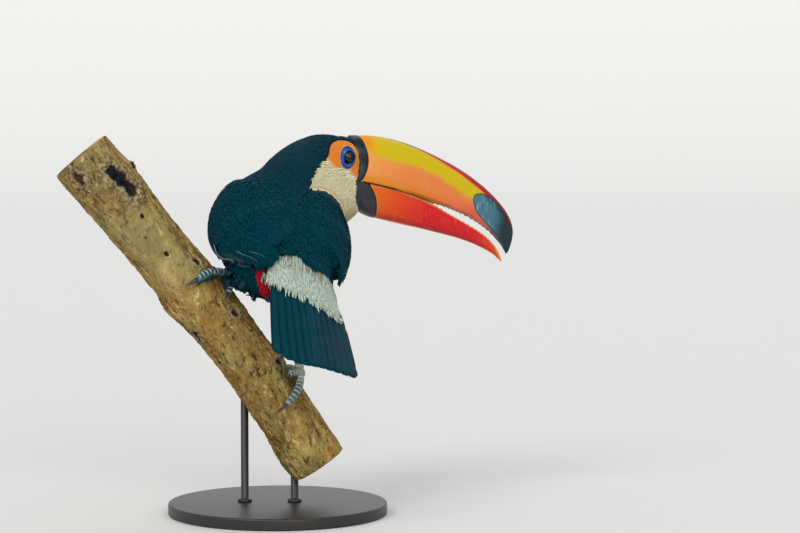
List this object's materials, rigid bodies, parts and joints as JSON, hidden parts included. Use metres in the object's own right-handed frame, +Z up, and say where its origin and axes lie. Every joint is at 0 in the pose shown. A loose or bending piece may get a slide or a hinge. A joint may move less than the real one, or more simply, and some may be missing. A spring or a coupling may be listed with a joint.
{
  "type": "toco toucan",
  "caption": "Life-size still model of a toco toucan gripping a slanting branch, its head turned over its right shoulder, on a round display stand.",
  "frame": {"origin": "middle of the underside of the stand's round base", "axes": "+Z up. +X is the way the bill points and the way the branch runs down. -Y is the side of the bird's back and tail, and +Y the side of its breast."},
  "size_m": [0.4609, 0.2825, 0.3811],
  "materials": {
    "feathers_black": "black feathers with a faint blue-green sheen",
    "feathers_cream": "short soft cream feathers",
    "feathers_white": "loose off-white feathers",
    "feathers_red": "soft crimson feathers",
    "bill_upper": "satin horn, yellow to orange with a black base and tip",
    "bill_lower": "satin horn, orange-red with a black base",
    "eye": "wet gloss, dark",
    "foot_skin": "blue-grey scaled skin",
    "claw": "dark horn",
    "bark": "ochre-brown bark with fine dark cracks",
    "stand_base": "wood painted satin black",
    "stand_rod": "satin black paint"
  },
  "bodies": {
    "root": {"perch": "bark", "stand_base": "stand_base", "stand_rod_low": "stand_rod", "stand_rod_high": "stand_rod", "foot_left": "foot_skin", "toe_left_1": "foot_skin", "claw_left_1": "claw", "toe_left_2": "foot_skin", "claw_left_2": "claw", "toe_left_3": "foot_skin", "claw_left_3": "claw", "toe_left_4": "foot_skin", "claw_left_4": "claw", "shank_left": "foot_skin", "thigh_left": "feathers_black", "foot_right": "foot_skin", "toe_right_1": "foot_skin", "claw_right_1": "claw", "toe_right_2": "foot_skin", "claw_right_2": "claw", "toe_right_3": "foot_skin", "claw_right_3": "claw", "toe_right_4": "foot_skin", "claw_right_4": "claw", "shank_right": "foot_skin", "thigh_right": "feathers_black", "eye_left": "eye", "eye_right": "eye", "bill_upper": "bill_upper", "bill_lower": "bill_lower", "head": "feathers_cream", "neck": "feathers_black", "trunk": "feathers_black", "wing_left": "feathers_black", "wing_right": "feathers_black", "tail": "feathers_black", "tail_coverts_upper": "feathers_white", "tail_coverts_lower": "feathers_red"}
  },
  "joints": []
}
